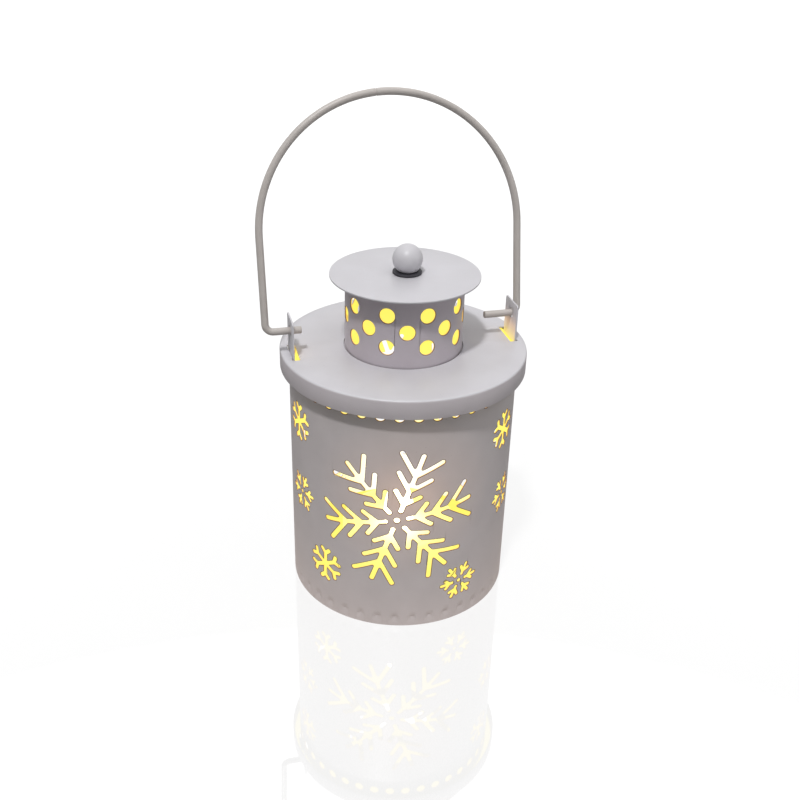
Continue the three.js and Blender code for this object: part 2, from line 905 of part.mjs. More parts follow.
function teaLightGroup() {
  const group = new THREE.Group();
  group.add(piece('tea_light_cup', teaLightCup(), whitePlastic));
  group.add(piece('tea_light_base', teaLightBase(), whitePlastic));
  group.add(piece('wax_top', waxTop(), ivory));
  group.add(piece('flame_lens', flameLens(), glowing));
  group.add(piece('led', led(), glowing));
  group.add(piece('circuit_board', circuitBoard(), boardGreen));
  group.add(piece('resistor', resistor(), ivory));
  group.add(piece('coin_cell', coinCell(), steel));
  group.add(piece('positive_contact', positiveContact(), steel));
  group.add(piece('negative_contact', negativeContact(), steel));
  group.add(switchMesh());
  group.add(piece('battery_cover', batteryCover(), whitePlastic));
  group.position.z = tin;
  return group;
}

const lantern = new THREE.Group();
lantern.add(bodyGroup(), lidGroup(), bailMesh(), teaLightGroup());

export default lantern;
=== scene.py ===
import math

import bpy
from mathutils import Matrix, Vector


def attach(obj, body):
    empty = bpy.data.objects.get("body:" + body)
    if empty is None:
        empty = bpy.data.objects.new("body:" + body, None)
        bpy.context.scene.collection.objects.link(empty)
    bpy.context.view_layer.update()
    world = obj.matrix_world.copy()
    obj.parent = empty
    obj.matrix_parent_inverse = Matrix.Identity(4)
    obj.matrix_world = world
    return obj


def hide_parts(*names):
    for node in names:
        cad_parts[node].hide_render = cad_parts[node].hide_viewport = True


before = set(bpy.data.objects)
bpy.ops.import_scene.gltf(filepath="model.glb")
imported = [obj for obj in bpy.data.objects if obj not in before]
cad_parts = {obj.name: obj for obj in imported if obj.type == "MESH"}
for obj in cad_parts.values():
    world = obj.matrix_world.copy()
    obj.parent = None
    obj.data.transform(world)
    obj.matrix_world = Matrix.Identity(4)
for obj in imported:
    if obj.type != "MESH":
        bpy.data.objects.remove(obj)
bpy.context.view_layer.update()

# Sizes in millimetres, as in the CAD model, and MM turns them into metres
MM = 0.001
TIN = 0.5
SHEET = 0.3
WALL_RADIUS = 35.0
WALL_HEIGHT = 80.4
LAP = 6.0
LAP_STEP = 1.5
SHEET_LENGTH = 2 * math.pi * WALL_RADIUS + LAP
VENT_WIDTH = 3.1
VENT_DROP = 5.7
CRIMP_TOP = 4.0
CRIMP_FOOT = 0.9
CRIMP_DEPTH = 0.42
CRIMP_HALF_WIDTH = 1.25
CRIMP_WIDENING = 0.9
RIM = 0.2
CUTTER_DEPTH = 3
SIDE_CUTTER_DEPTH = 4
LID_RADIUS = 37.7
LID_TOP = 81.4
LID_RIM = 75.45
LID_HOLE = 18.2
COLLAR_RADIUS = 17.9
FLANGE_RADIUS = 20.9
DOT_WIDTH = 4.6
DOT_HEIGHTS = (6.3, 11.3, 16.2)
HAT_RADIUS = 22.5
HAT_TOP = 104.2
HAT_UNDER = HAT_TOP - TIN
SCREW_HOLE = 1.8
WASHER_RADIUS = 4.4
WASHER_TOP = 105
KNOB_RADIUS = 4.5
KNOB_MIDDLE = 108.6
PIVOT = 88.6
EAR_PLACE = 34.5
EAR_MIDDLE = 86.5
EAR_SIZE = (0.5, 10, 12.2)
EAR_CORNER = 0.8
EAR_HOLE = 3
EAR_SLOT_PLACE = 33.875
EAR_SLOT = (2.35, 11.2, 3)
EAR_FOOT = 80.9
EAR_FOOT_HALF = 3
BAIL_HALF = 39.05
BAIL_SHIFT = -2.9
WIRE_RADIUS = 1.1

# Places round the axis in degrees. The wall's own degrees count from the front, where its large
# snowflake looks, and PHOTO_SIDE is where the camera stands
PHOTO_SIDE = -105
FRONT = -105.9
SEAM = -97.0
SHEET_START = SEAM - math.degrees(LAP / 2 / WALL_RADIUS)
FIRST_VENT = -99
VENT_PITCH = 9
VENT_COUNT = 41
DOT_FRONT = -101.6
DOT_PITCH = 38.5
DOTS_IN_ROW = 9
LEAN = 12.0

# The snowflakes' places on the wall: degrees from the front, and height
BIG_PLACES = ((0, 39.9), (180, 44.4))
STAR_PLACES = (
    (-60.5, 62.5), (62.6, 61.5), (-39.3, 17.3), (93, 20), (119.5, 62.5), (-117.4, 61.5), (134, 17.3))
SPRIG_PLACES = ((-58.5, 38.2), (67.2, 37.3), (34.2, 14), (121.5, 38.2), (-112.8, 37.3), (-134, 14))

# In metres: the knob's seat off the hat's middle, the merge distance, and the floor just under the base
KNOB_SHIFT = (0.00055, -0.00015, 0)
MERGE_DISTANCE = 0.000002
FLOOR_DROP = 0.00002


# Camera first: the photograph's viewing angle
def place_camera():
    data = bpy.data.cameras.new("camera")
    data.lens = 45.64
    data.sensor_width = 36
    data.clip_start = 0.01
    camera = bpy.data.objects.new("camera", data)
    bpy.context.scene.collection.objects.link(camera)
    heading = Matrix.Rotation(math.radians(PHOTO_SIDE + 90), 4, "Z")
    place = heading @ Matrix.Translation(Vector((-0.5746, -281.578, 213.217)) * MM)
    tilt = Matrix.Rotation(math.radians(90 - 28.321), 4, "X")
    roll = Matrix.Rotation(math.radians(1.506), 4, "Z")
    camera.matrix_world = place @ tilt @ roll
    bpy.context.scene.camera = camera


# Modelling by hand
def clear_selection():
    active = bpy.context.view_layer.objects.active
    if active and active.mode != "OBJECT":
        bpy.ops.object.mode_set(mode="OBJECT")
    bpy.ops.object.select_all(action="DESELECT")


def select_only(piece):
    clear_selection()
    piece.select_set(True)
    bpy.context.view_layer.objects.active = piece


def named(name):
    """Names the piece that was made last."""
    piece = bpy.context.object
    piece.name = name
    piece.data.name = name
    return piece


def settle(piece):
    """Puts the piece's place, turn and size into its mesh."""
    select_only(piece)
    bpy.ops.object.transform_apply(location=True, rotation=True, scale=True)
    return piece


def pick(piece, kind, test):
    """Goes into edit mode with the vertices, edges or faces that pass the test selected."""
    select_only(piece)
    bpy.ops.object.mode_set(mode="EDIT")
    bpy.ops.mesh.select_mode(type=kind)
    bpy.ops.mesh.select_all(action="DESELECT")
    bpy.ops.object.mode_set(mode="OBJECT")
    mesh = piece.data
    items = {"VERT": mesh.vertices, "EDGE": mesh.edges, "FACE": mesh.polygons}[kind]
    for item in items:
        item.select = test(item)
    bpy.ops.object.mode_set(mode="EDIT")


def pick_whole(piece):
    select_only(piece)
    bpy.ops.object.mode_set(mode="EDIT")
    bpy.ops.mesh.select_all(action="SELECT")


def leave_edit():
    bpy.ops.object.mode_set(mode="OBJECT")


def close_up():
    """Merges the points that fall together, turns all faces outwards and leaves edit mode."""
    bpy.ops.mesh.select_all(action="SELECT")
    bpy.ops.mesh.remove_doubles(threshold=MERGE_DISTANCE)
    bpy.ops.mesh.normals_make_consistent(inside=False)
    leave_edit()


def split_at(piece, place, direction):
    """Draws a line of new edges round the piece where a plane crosses it."""
    pick(piece, "FACE", lambda face: True)
    bpy.ops.mesh.bisect(plane_co=place, plane_no=direction)
    leave_edit()


def apply_modifier(piece, kind, **settings):
    select_only(piece)
    modifier = piece.modifiers.new(kind.lower(), kind)
    for key, value in settings.items():
        setattr(modifier, key, value)
    bpy.ops.object.modifier_apply(modifier=modifier.name)
    return piece


def soften(piece, width, segments=2, angle=40):
    """Rounds the sharp edges a little and shades the rest smooth."""
    apply_modifier(piece, "BEVEL", width=width * MM, segments=segments, limit_method="ANGLE",
                   angle_limit=math.radians(angle), harden_normals=False, use_clamp_overlap=True)
    return smooth(piece)


def smooth(piece, angle=32):
    select_only(piece)
    bpy.ops.object.shade_smooth_by_angle(angle=math.radians(angle))
    return piece


def joined(name, pieces):
    clear_selection()
    for piece in pieces:
        piece.select_set(True)
    bpy.context.view_layer.objects.active = pieces[0]
    bpy.ops.object.join()
    return named(name)


def duplicate(piece, place=(0, 0, 0), turn=0):
    copy = piece.copy()
    copy.data = piece.data.copy()
    bpy.context.scene.collection.objects.link(copy)
    copy.location = Vector(place) * MM
    copy.rotation_euler = (0, 0, math.radians(turn))
    return settle(copy)


def throw_away(piece):
    bpy.data.objects.remove(piece)


def cut_out(piece, cutter):
    apply_modifier(piece, "BOOLEAN", operation="DIFFERENCE", solver="EXACT", object=cutter)
    throw_away(cutter)
    return piece


def block(name, size, place):
    clear_selection()
    bpy.ops.mesh.primitive_cube_add(size=1, location=Vector(place) * MM)
    piece = named(name)
    piece.scale = Vector(size) * MM
    return settle(piece)


def round_cutter(name, diameter, sides):
    clear_selection()
    bpy.ops.mesh.primitive_cylinder_add(vertices=sides, radius=diameter / 2 * MM, depth=CUTTER_DEPTH * MM)
    return named(name)


def sideways_cutter(name, diameter, sides, place=(0, 0, 0)):
    """A round cutter that lies along x."""
    clear_selection()
    bpy.ops.mesh.primitive_cylinder_add(vertices=sides, radius=diameter / 2 * MM,
                                        depth=SIDE_CUTTER_DEPTH * MM, location=Vector(place) * MM,
                                        rotation=(0, math.radians(90), 0))
    return settle(named(name))


def turned(name, outline, sides):
    """A round piece: a ring extruded from one (radius, height) of its outline to the next."""
    steps = [(max(radius, 0.0001), height) for radius, height in outline]
    radius, height = steps[0]
    clear_selection()
    bpy.ops.mesh.primitive_circle_add(vertices=sides, radius=radius * MM, location=(0, 0, height * MM))
    piece = settle(named(name))
    pick_whole(piece)
    for next_radius, next_height in steps[1:]:
        rise = (0, 0, (next_height - height) * MM)
        bpy.ops.mesh.extrude_edges_move(TRANSFORM_OT_translate={"value": rise})
        scale = next_radius / radius
        bpy.ops.transform.resize(value=(scale, scale, 1), center_override=(0, 0, 0))
        radius, height = next_radius, next_height
    close_up()
    return piece


# Flat work for the wall: cutters for the snowflakes and the vents, and the crimps
def stroke(start, end, width):
    """A bar with round ends: a disc whose far half is pulled out to the other end."""
    sides = 20
    along = Vector(end) - Vector(start)
    turn = math.atan2(along.y, along.x)
    clear_selection()
    bpy.ops.mesh.primitive_cylinder_add(
        vertices=sides, radius=width / 2 * MM, depth=CUTTER_DEPTH * MM,
        location=(start[0] * MM, start[1] * MM, 0), rotation=(0, 0, turn + math.radians(180 / sides)))
    bar = settle(named("stroke"))
    pull = along.to_3d() * MM
    middle = Vector((start[0], start[1], 0)) * MM
    pick(bar, "VERT", lambda v: (v.co - middle).dot(pull) > 0)
    bpy.ops.transform.translate(value=pull)
    leave_edit()
    return bar


def merge_strokes(flake):
    pick_whole(flake)
    bpy.ops.mesh.intersect_boolean(operation="UNION", use_self=True, solver="EXACT")
    leave_edit()
    return flake


def arm(stem, branches, width, web=0):
    """One arm along x: its stem from start to end, and pairs of 45 degree branches.

    A web rounds the narrow notches between them."""
    bars = [stroke((stem[0], 0), (stem[1], 0), width)]
    for root, reach in branches:
        for side in (-1, 1):
            bars.append(stroke((root, 0), (root + reach, side * reach), width))
    whole = merge_strokes(joined("arm", bars))
    if web:
        notches = narrow_notches(whole.data)
        pick(whole, "EDGE", lambda edge: edge.index in notches)
        bpy.ops.mesh.bevel(offset=web * MM / math.tan(math.radians(22.5)), segments=4, affect="EDGES")
        leave_edit()
    return whole


def narrow_notches(mesh):
    """The upright edges where two walls of the cutter meet in an inner corner under 60 degrees."""
    walls = {}
    for face in mesh.polygons:
        if abs(face.normal.z) < 0.5:
            for key in face.edge_keys:
                walls.setdefault(key, []).append(face)
    found = set()
    for edge in mesh.edges:
        pair = walls.get(edge.key, [])
        if len(pair) == 2:
            inner = (pair[1].center - pair[0].center).dot(pair[0].normal) > 0
            if inner and pair[0].normal.dot(pair[1].normal) < -0.5:
                found.add(edge.index)
    return found


def snowflake(name, one_arm, turn, dot=None):
    """Six arms, and a round hole in the middle where a dot's width is given."""
    arms = [duplicate(one_arm, turn=turn + 60 * k) for k in range(6)]
    throw_away(one_arm)
    if dot:
        arms.append(round_cutter("dot", dot, 16))
    return merge_strokes(joined(name, arms))


def along_sheet(degrees):
    """How far along the flat sheet a place lies, from its degrees round the wall."""
    turn = (degrees - SHEET_START) % 360
    return math.radians(turn) * WALL_RADIUS


def wall_cutter():
    big_branches = ((5.9, 3.78), (10.9, 5.02), (16.1, 6.33))
    big_arm = arm(stem=(3.5, 23.15), branches=big_branches, width=1.5, web=0.55)
    big = snowflake("big_flake", big_arm, turn=11.5, dot=1.9)
    star = snowflake("star", arm(stem=(0, 4.1), branches=((4.0, 1.4),), width=1.4), turn=28)
    sprig_arm = arm(stem=(2.35, 6.15), branches=((3.35, 1.45),), width=1.1)
    sprig = snowflake("sprig", sprig_arm, turn=5.5, dot=1.3)
    cutters = []
    for flake, places in ((big, BIG_PLACES), (star, STAR_PLACES), (sprig, SPRIG_PLACES)):
        cutters += [duplicate(flake, (along_sheet(degrees), height, 0)) for degrees, height in places]
        throw_away(flake)
    return joined("wall_cutter", cutters + vent_cutters())


def vent_cutters():
    """The row of round vents, also through both layers of the lap."""
    vent = round_cutter("vent", VENT_WIDTH, 20)
    copies = []
    for k in range(VENT_COUNT):
        distance = math.radians(FIRST_VENT + VENT_PITCH * k - SHEET_START) * WALL_RADIUS
        copies.append(duplicate(vent, (distance, WALL_HEIGHT - VENT_DROP, 0)))
    throw_away(vent)
    return copies


def crimp_depth(along, height):
    """How deep the wall is pressed in: deepest under a sharp upper edge, running out downwards."""
    if height > CRIMP_TOP + 0.01:
        return 0
    pitch = math.radians(VENT_PITCH) * WALL_RADIUS
    first = math.radians(FIRST_VENT - SHEET_START) * WALL_RADIUS
    offset = (along - first + pitch / 2) % pitch - pitch / 2
    down = (CRIMP_TOP - height) / (CRIMP_TOP - CRIMP_FOOT)
    side = min(1, abs(offset) / (CRIMP_HALF_WIDTH + CRIMP_WIDENING * down))
    flank = 1 - side ** 3 if down < 0.1 else (1 - side * side) ** 1.2
    return CRIMP_DEPTH * max(0, 1 - down) * flank


def roll_up(mesh):
    """Rolls the flat sheet round the lantern's axis, with its last stretch lapped over the first."""
    full = 2 * math.pi * WALL_RADIUS
    start = math.radians(SHEET_START + FRONT)
    for vertex in mesh.vertices:
        along, height, out = (value / MM for value in vertex.co)
        step = min(1, max(0, (along - full + LAP_STEP) / LAP_STEP))
        radius = WALL_RADIUS + out + TIN * step * step * (3 - 2 * step)
        radius -= crimp_depth(along, height)
        angle = start + along / WALL_RADIUS
        vertex.co = Vector((radius * math.cos(angle), radius * math.sin(angle), height)) * MM
    mesh.update()


def is_cut_wall(face):
    """Tells the sides of the flat sheet's cut-outs from its faces and its outer ends."""
    x, y = face.center.x / MM, face.center.y / MM
    return abs(face.normal.z) < 0.3 and 0.1 < x < SHEET_LENGTH - 0.1 and 0.1 < y < WALL_HEIGHT - 0.1


def give_finishes(piece, finish, others):
    """Gives the piece its finish, and other finishes to the faces that pass their tests."""
    piece.data.materials.append(finish)
    for other, _ in others:
        piece.data.materials.append(other)
    for face in piece.data.polygons:
        passed = [k for k, (_, test) in enumerate(others, 1) if test(face)]
        face.material_index = passed[0] if passed else 0


def draw_rims(piece, is_cut, is_outer):
    """Bevels the outer edge of each cut-out, and returns the indexes of the faces that this made."""
    cut, outer = set(), set()
    for face in piece.data.polygons:
        if is_cut(face):
            cut.update(face.edge_keys)
        elif is_outer(face):
            outer.update(face.edge_keys)
    edges = cut & outer
    pick(piece, "EDGE", lambda edge: edge.key in edges)
    bpy.ops.mesh.bevel(offset=RIM * MM, segments=1, affect="EDGES", clamp_overlap=False, loop_slide=False)
    bpy.ops.mesh.select_all(action="SELECT")
    bpy.ops.mesh.dissolve_degenerate(threshold=0.00001)
    leave_edit()
    return {face.index for face in piece.data.polygons if not is_cut(face) and not is_outer(face)}


def make_wall():
    """The rolled wall: a flat sheet that is cut through, then rolled up and lapped."""
    clear_selection()
    bpy.ops.mesh.primitive_grid_add(x_subdivisions=330, y_subdivisions=14, size=1)
    sheet = named("wall")
    sheet.scale = (SHEET_LENGTH * MM, WALL_HEIGHT * MM, 1)
    sheet.location = (SHEET_LENGTH / 2 * MM, WALL_HEIGHT / 2 * MM, 0)
    settle(sheet)
    for line in (CRIMP_TOP + 0.05, CRIMP_TOP):
        split_at(sheet, (0, line * MM, 0), (0, 1, 0))
    pick(sheet, "FACE", lambda face: face.center.y < CRIMP_TOP * MM)
    bpy.ops.mesh.subdivide(number_cuts=5)
    leave_edit()
    apply_modifier(sheet, "SOLIDIFY", thickness=SHEET * MM, offset=-1, use_even_offset=True)
    cut_out(sheet, wall_cutter())
    rims = draw_rims(sheet, is_cut_wall, lambda face: face.normal.z > 0.9)
    give_finishes(sheet, SHELL_PAINT_AND_GLOW, [
        (LIT_INSIDE, lambda face: face.normal.z < -0.7), (CUT_EDGE, is_cut_wall),
        (CUT_RIM, lambda face: face.index in rims and face.normal.z > 0.5)])
    # The rims are only a line of colour, so their lower edge comes up to the outer face
    for vertex in sheet.data.vertices:
        if -SHEET * 0.9 * MM < vertex.co.z < -0.02 * MM:
            vertex.co.z = 0
    roll_up(sheet.data)
    return smooth(sheet, 30)


# The other sheet-metal pieces
def radius_of(face):
    return math.hypot(face.center.x, face.center.y) / MM


def outwardness(face):
    """How squarely a face looks away from the lantern's axis: 1 outwards and -1 inwards."""
    outward = Vector((face.center.x, face.center.y, 0)).normalized()
    return face.normal.dot(outward)


def make_lid():
    inner, under = LID_RADIUS - TIN, LID_TOP - TIN
    lid = turned("lid_cap", [
        (LID_HOLE, under), (inner - 0.3, under), (inner, under - 0.3), (inner, LID_RIM),
        (LID_RADIUS, LID_RIM), (LID_RADIUS, LID_TOP - 0.7), (LID_RADIUS - 0.09, LID_TOP - 0.35),
        (LID_RADIUS - 0.33, LID_TOP - 0.1), (LID_RADIUS - 0.7, LID_TOP), (LID_HOLE, LID_TOP),
        (LID_HOLE, under),
    ], 192)
    for side in (-1, 1):
        cut_out(lid, block("slot", EAR_SLOT, (side * EAR_SLOT_PLACE, 0, LID_TOP)))
    soften(lid, 0.08)
    give_finishes(lid, PAINT, [
        (LIT_CHIMNEY, lambda face: face.normal.z < -0.6 and face.center.z > 80 * MM),
        # Painted warm light on the rim's upright face
        (WARM_LIT_RIM_PAINT, lambda face: outwardness(face) > 0.9 and radius_of(face) > LID_RADIUS - 0.2),
        # Painted shade on the hole's wall, in the gap round the chimney's foot
        (GAP_SHADE, lambda face: radius_of(face) < LID_HOLE + 0.06)])
    return lid


def is_dot_wall(face):
    """Tells the sides of the collar's round holes from its faces."""
    in_wall = COLLAR_RADIUS - TIN < radius_of(face) < COLLAR_RADIUS
    return in_wall and 84 * MM < face.center.z < 102 * MM and abs(outwardness(face)) < 0.3


def make_collar():
    """The chimney: a flange under the lid, the perforated ring, and a narrow ring under the hat."""
    inner, top_hole = COLLAR_RADIUS - TIN, 14.4
    foot, seat = LID_TOP - 2 * TIN, LID_TOP - TIN
    collar = turned("chimney", [
        (inner, foot), (FLANGE_RADIUS, foot), (FLANGE_RADIUS, seat), (COLLAR_RADIUS, seat),
        (COLLAR_RADIUS, HAT_UNDER), (top_hole, HAT_UNDER), (top_hole, HAT_UNDER - TIN),
        (inner, HAT_UNDER - TIN), (inner, foot),
    ], 200)
    dot = sideways_cutter("dot", DOT_WIDTH, 28)
    dots = []
    for row, rise in enumerate(DOT_HEIGHTS):
        for k in range(DOTS_IN_ROW):
            degrees = DOT_FRONT + (k - (4 if row % 2 else 4.5)) * DOT_PITCH
            angle = math.radians(degrees)
            place = (COLLAR_RADIUS * math.cos(angle), COLLAR_RADIUS * math.sin(angle), LID_TOP + rise)
            dots.append(duplicate(dot, place, degrees))
    throw_away(dot)
    cut_out(collar, joined("dots", dots))
    rims = draw_rims(collar, is_dot_wall, lambda face: outwardness(face) > 0.98)
    # The collar's darker coat is painted shade under the hat
    give_finishes(collar, SHADED_COLLAR_PAINT, [
        (LIT_CHIMNEY, lambda face: outwardness(face) < -0.9), (DOT_EDGE, is_dot_wall),
        (CUT_RIM, lambda face: face.index in rims and 0.5 < outwardness(face) < 0.88)])
    return collar


def make_hat():
    """The flat disc, with the chimney's light painted on its underside as far as the chimney reaches."""
    lit_radius = 14
    hat = turned("hat_disc", [
        (SCREW_HOLE, HAT_UNDER), (lit_radius, HAT_UNDER), (HAT_RADIUS, HAT_UNDER), (HAT_RADIUS, HAT_TOP),
        (SCREW_HOLE, HAT_TOP), (SCREW_HOLE, HAT_UNDER),
    ], 160)
    soften(hat, 0.1)
    give_finishes(hat, PAINT, [
        (LIT_CHIMNEY, lambda face: face.normal.z < -0.6 and radius_of(face) < lit_radius)])
    return hat


def make_knob():
    """The ball, cut flat where it stands on the washer."""
    clear_selection()
    bpy.ops.mesh.primitive_uv_sphere_add(segments=64, ring_count=40, radius=KNOB_RADIUS * MM,
                                         location=(0, 0, KNOB_MIDDLE * MM))
    knob = settle(named("ball_knob"))
    pick_whole(knob)
    bpy.ops.mesh.bisect(plane_co=(0, 0, WASHER_TOP * MM), plane_no=(0, 0, -1),
                        use_fill=True, clear_outer=True)
    leave_edit()
    knob.location = KNOB_SHIFT
    return smooth(settle(knob), 40)


def make_washer():
    washer = turned("knob_ring", [
        (SCREW_HOLE, HAT_TOP), (WASHER_RADIUS, HAT_TOP), (WASHER_RADIUS, WASHER_TOP),
        (SCREW_HOLE, WASHER_TOP), (SCREW_HOLE, HAT_TOP),
    ], 64)
    washer.location = KNOB_SHIFT
    return soften(settle(washer), 0.25, 3)


def make_base():
    """The pan: a raised ring round the tea light's place, a flat floor and an upright edge."""
    base = turned("base_pan", [
        (0, 0), (19.85, 0), (19.85, 0.7), (20.45, 0.7), (20.45, 0), (33.2, 0), (33.58, 0.08), (33.9, 0.3),
        (34.12, 0.62), (34.2, 1), (34.2, 6), (33.7, 6), (33.7, 1), (33.55, 0.65), (33.2, 0.5), (20.95, 0.5),
        (20.95, 1.2), (19.35, 1.2), (19.35, 0.5), (0, 0.5),
    ], 160)
    smooth(base, 30)

    def is_inside(face):
        return face.center.z > 0.4 * MM and (face.normal.z > 0.5 or outwardness(face) < -0.5)

    give_finishes(base, PAINT, [(LIT_PLASTIC, is_inside)])
    return base


def make_ear(name, side):
    """An upright plate with its hole and a short foot under the lid."""
    ear = block(name, EAR_SIZE, (EAR_PLACE, 0, EAR_MIDDLE))
    top = EAR_MIDDLE + EAR_SIZE[2] / 2

    def is_top_corner(edge):
        start, end = (ear.data.vertices[i].co for i in edge.vertices)
        return min(start.z, end.z) > (top - EAR_CORNER) * MM and abs(start.y - end.y) < MM

    pick(ear, "EDGE", is_top_corner)
    bpy.ops.mesh.bevel(offset=EAR_CORNER * MM, segments=4, affect="EDGES")
    leave_edit()
    split_at(ear, (0, 0, EAR_FOOT * MM), (0, 0, 1))
    for y in (-EAR_FOOT_HALF, EAR_FOOT_HALF):
        split_at(ear, (0, y * MM, 0), (0, 1, 0))
    pick(ear, "FACE", lambda face: face.normal.x > 0.9 and face.center.z < EAR_FOOT * MM
         and abs(face.center.y) < EAR_FOOT_HALF * MM)
    bpy.ops.mesh.extrude_region_move(TRANSFORM_OT_translate={"value": (MM, 0, 0)})
    leave_edit()
    cut_out(ear, sideways_cutter("pivot_hole", EAR_HOLE, 32, (EAR_PLACE, 0, PIVOT)))
    if side < 0:
        ear.rotation_euler = (0, 0, math.pi)
        settle(ear)
    soften(ear, 0.1, angle=30)
    give_finishes(ear, PAINT, [(LIT_EAR, lambda face: outwardness(face) < -0.9)])
    return ear


def make_bail():
    """The wire: drawn as a curve in its own plane, then leant back about the pivots.

    Near its top a fine groove runs round it, drawn by three points that lie close together."""
    half, leg, bend, stub = BAIL_HALF, 27.7, 2.4, 10.6
    arc_step, joint_place, groove = 2.5, 95, 0.3

    def on_arc(degrees):
        angle = math.radians(degrees)
        return half * math.cos(angle), leg + half * math.sin(angle)

    points = [(stub - half, 0), (bend - half - 0.01, 0)]
    points += [(bend - half + bend * math.cos(angle), bend + bend * math.sin(angle))
               for angle in (math.radians(270 - 9 * k) for k in range(1, 11))]
    points += [(-half, leg * k / 6) for k in range(1, 6)]
    other_leg = [(-x, z) for x, z in reversed(points)]
    joint = len(points) + round((180 - joint_place) / arc_step)
    points += [on_arc(180 - arc_step * k) for k in range(73)]
    points += other_leg
    points.insert(joint, on_arc(joint_place + groove))
    points.insert(joint + 2, on_arc(joint_place - groove))
    clear_selection()
    bpy.ops.curve.primitive_nurbs_path_add()
    wire = bpy.context.object
    wire.data.splines.clear()
    spline = wire.data.splines.new("POLY")
    spline.points.add(len(points) - 1)
    for point, (x, z) in zip(spline.points, points):
        point.co = (x * MM, 0, z * MM, 1)
    spline.points[joint + 1].radius = 0.84
    wire.data.dimensions = "3D"
    wire.data.bevel_depth = WIRE_RADIUS * MM
    wire.data.bevel_resolution = 6
    wire.data.use_fill_caps = True
    bpy.ops.object.convert(target="MESH")
    bail = named("bail_wire")
    bail.rotation_euler = (math.radians(-LEAN), 0, 0)
    bail.location = (BAIL_SHIFT * MM, 0, PIVOT * MM)
    settle(bail)
    pick_whole(bail)
    close_up()
    return soften(bail, 0.2, angle=60)


# Tea light
def make_cup():
    cup = turned("tea_cup", [
        (17.75, 0.8), (18.35, 0.8), (18.75, 1.2), (18.75, 16.2), (18.45, 16.8), (18.05, 17.0),
        (17.75, 17.0), (17.75, 0.8),
    ], 128)
    soften(cup, 0.12, angle=30)
    give_finishes(cup, LIT_PLASTIC, [(WHITE, lambda face: face.normal.z < -0.6)])
    return cup


def make_wax():
    """The ivory top, sunk towards the flame as if it had melted."""
    wax = turned("wax_dish", [
        (4.2, 13.0), (13.45, 13.3), (16.45, 14.6), (16.45, 2.3), (17.45, 2.3), (17.45, 16.0), (17.1, 16.35),
        (16.4, 16.3), (15.6, 15.6), (14.6, 14.9), (13.2, 14.4), (11.45, 14.1), (8, 14.05), (4.2, 14.3),
        (4.2, 13.0),
    ], 96)
    return smooth(wax, 40)


def make_flame():
    """The hollow flame: a foot inside the dish, a swelling body and a point."""
    dish, rise, widest = 14.0, 19.5, 5.0
    outline = [(3.2, 11.7), (4.9, 11.7), (4.9, 12.7), (3.9, 12.7), (3.9, 14.6)]
    steps = 26
    for k in range(2, steps):
        share = k / steps
        swell = math.sin(math.pi * min(1, 0.36 + 0.64 * share) ** 1.15) ** 0.8
        outline.append((max(0.05, widest * swell), dish + share * rise))
    tip = dish + rise
    outline += [(0, tip), (0, tip - 1.4), (2.0, tip - 4), (4.1, dish + 6), (3.2, 14.6), (3.2, 11.7)]
    return smooth(turned("flame", outline, 48), 50)


def softened_copy(name, width):
    """A copy of a CAD piece with merged points, flat faces whole and edges a little rounded."""
    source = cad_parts[name]
    copy = source.copy()
    copy.data = source.data.copy()
    copy.parent = None
    for key in list(copy.keys()):
        del copy[key]
    copy.name = name + "_soft"
    copy.data.name = copy.name
    copy.data.materials.clear()
    bpy.context.scene.collection.objects.link(copy)
    pick(copy, "FACE", lambda face: True)
    bpy.ops.mesh.remove_doubles(threshold=MERGE_DISTANCE)
    bpy.ops.mesh.dissolve_limited(angle_limit=math.radians(2))
    leave_edit()
    return soften(copy, width, angle=30)


# Materials. The scales of a coat's mottling and of its fine grain, and the height of that grain in metres
MOTTLE_SCALE = 120.0
GRAIN_SCALE = 2600.0
GRAIN_HEIGHT = 0.0001


def new_group(name, inputs, outputs):
    group = bpy.data.node_groups.new(name, "ShaderNodeTree")
    for label, kind, value in inputs:
        socket = group.interface.new_socket(label, in_out="INPUT", socket_type="NodeSocket" + kind)
        if value is not None:
            socket.default_value = value
    for label, kind in outputs:
        group.interface.new_socket(label, in_out="OUTPUT", socket_type="NodeSocket" + kind)
    return group, group.nodes.new("NodeGroupInput"), group.nodes.new("NodeGroupOutput")


def feed(tree, made, inputs):
    """Gives a node its inputs: sockets are linked, and values are set."""
    for key, value in inputs.items():
        if isinstance(value, bpy.types.NodeSocket):
            tree.links.new(value, made.inputs[key])
        else:
            made.inputs[key].default_value = value
    return made


def node(tree, kind, inputs, **settings):
    made = tree.nodes.new("ShaderNode" + kind)
    for key, value in settings.items():
        setattr(made, key, value)
    return feed(tree, made, inputs)


def use_group(tree, group, inputs):
    made = tree.nodes.new("ShaderNodeGroup")
    made.node_tree = group
    return feed(tree, made, inputs).outputs


def ramp(tree, value, stops):
    made = node(tree, "ValToRGB", {"Fac": value})
    elements = made.color_ramp.elements
    while len(elements) < len(stops):
        elements.new(0.5)
    for element, (position, color) in zip(elements, stops):
        element.position = position
        element.color = (*color, 1)
    return made.outputs["Color"]


def mix(tree, factor, first, second):
    """Mixes two colours. Sockets 6 and 7 of the node are its colours, and output 2 is their mix."""
    return node(tree, "Mix", {"Factor": factor, 6: first, 7: second}, data_type="RGBA").outputs[2]


def emit(tree, shader, color, strength=1):
    feed(tree, shader, {"Emission Color": color, "Emission Strength": strength})


